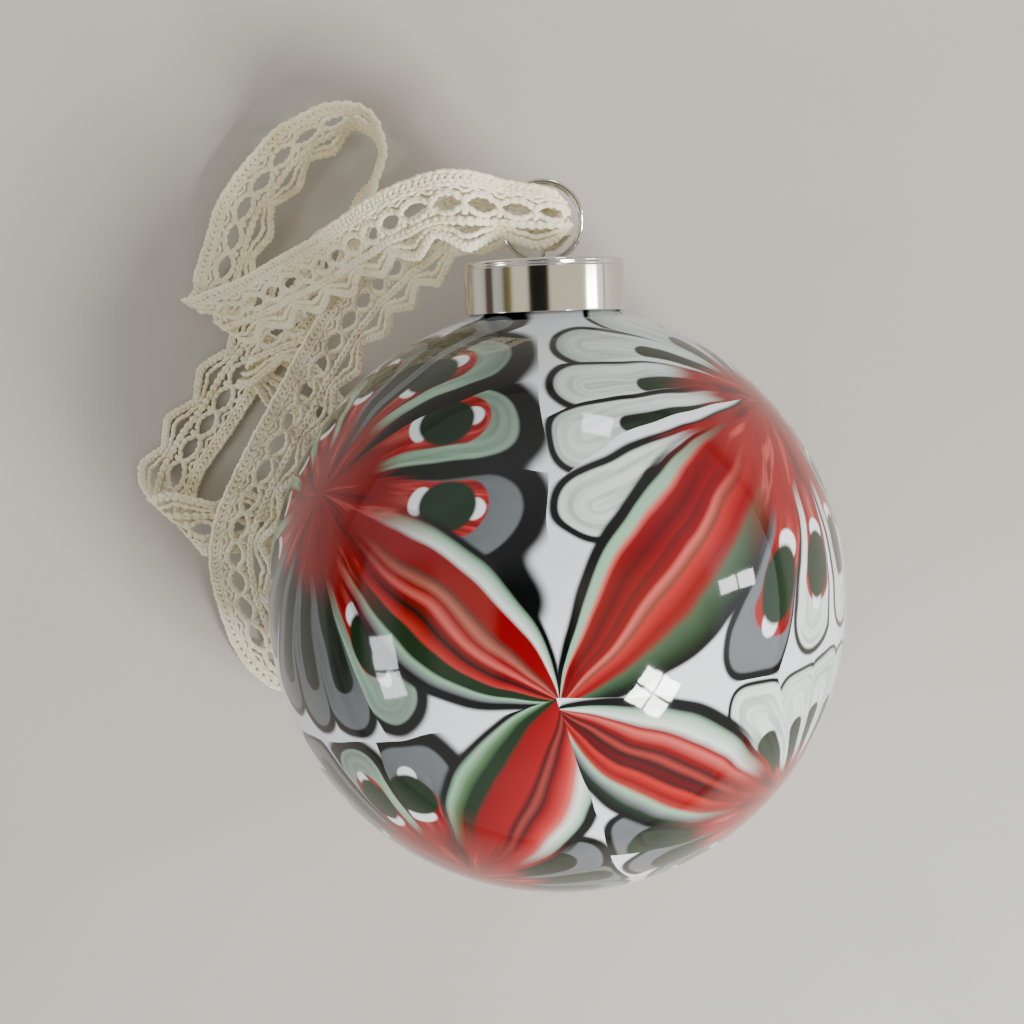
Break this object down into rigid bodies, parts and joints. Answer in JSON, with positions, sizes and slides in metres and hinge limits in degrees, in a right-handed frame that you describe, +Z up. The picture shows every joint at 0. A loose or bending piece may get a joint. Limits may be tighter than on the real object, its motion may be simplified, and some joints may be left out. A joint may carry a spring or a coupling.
{
  "type": "glass ball ornament",
  "caption": "Hollow painted glass ball with a bright metal cap, a split ring on a sprung wire clip, and a knotted loop of scalloped cotton lace, lying on its side.",
  "frame": {"origin": "the point of the ball that rests on the table, straight below the ball's centre", "axes": "+Z up from the table, +Y along the ball's axis towards the cap, +X to the right seen from above"},
  "size_m": [0.1103, 0.1147, 0.08],
  "materials": {
    "painted_glass": "opaque marbled red, green, grey, black and white paint under a thick clear gloss coat",
    "cap_metal": "polished nickel plate",
    "wire_metal": "bright plated steel wire",
    "lace": "cream cotton crochet lace"
  },
  "bodies": {
    "ball": {"glass_ball": "painted_glass"},
    "clip": {"spring_clip": "wire_metal", "lace_ribbon": "lace", "lace_knot": "lace", "lace_tail_long": "lace", "lace_tail_short": "lace"},
    "cap": {"cap": "cap_metal"},
    "ring": {"split_ring": "wire_metal"}
  },
  "joints": [
    {"name": "cap_pull", "type": "slide", "parent": "ball", "child": "clip", "axis": [0, 1, 0], "range_m": [0, 0.02], "deforming": ["spring_clip"]},
    {"name": "cap_turn", "type": "hinge", "parent": "clip", "child": "cap", "pos_m": [0, 0.0435, 0.04], "axis": [0, 1, 0], "continuous": true},
    {"name": "ring_tip", "type": "hinge", "parent": "clip", "child": "ring", "pos_m": [0, 0.04714, 0.04], "axis": [1, 0, 0], "range_deg": [-30, 30], "deforming": ["lace_ribbon"]}
  ]
}
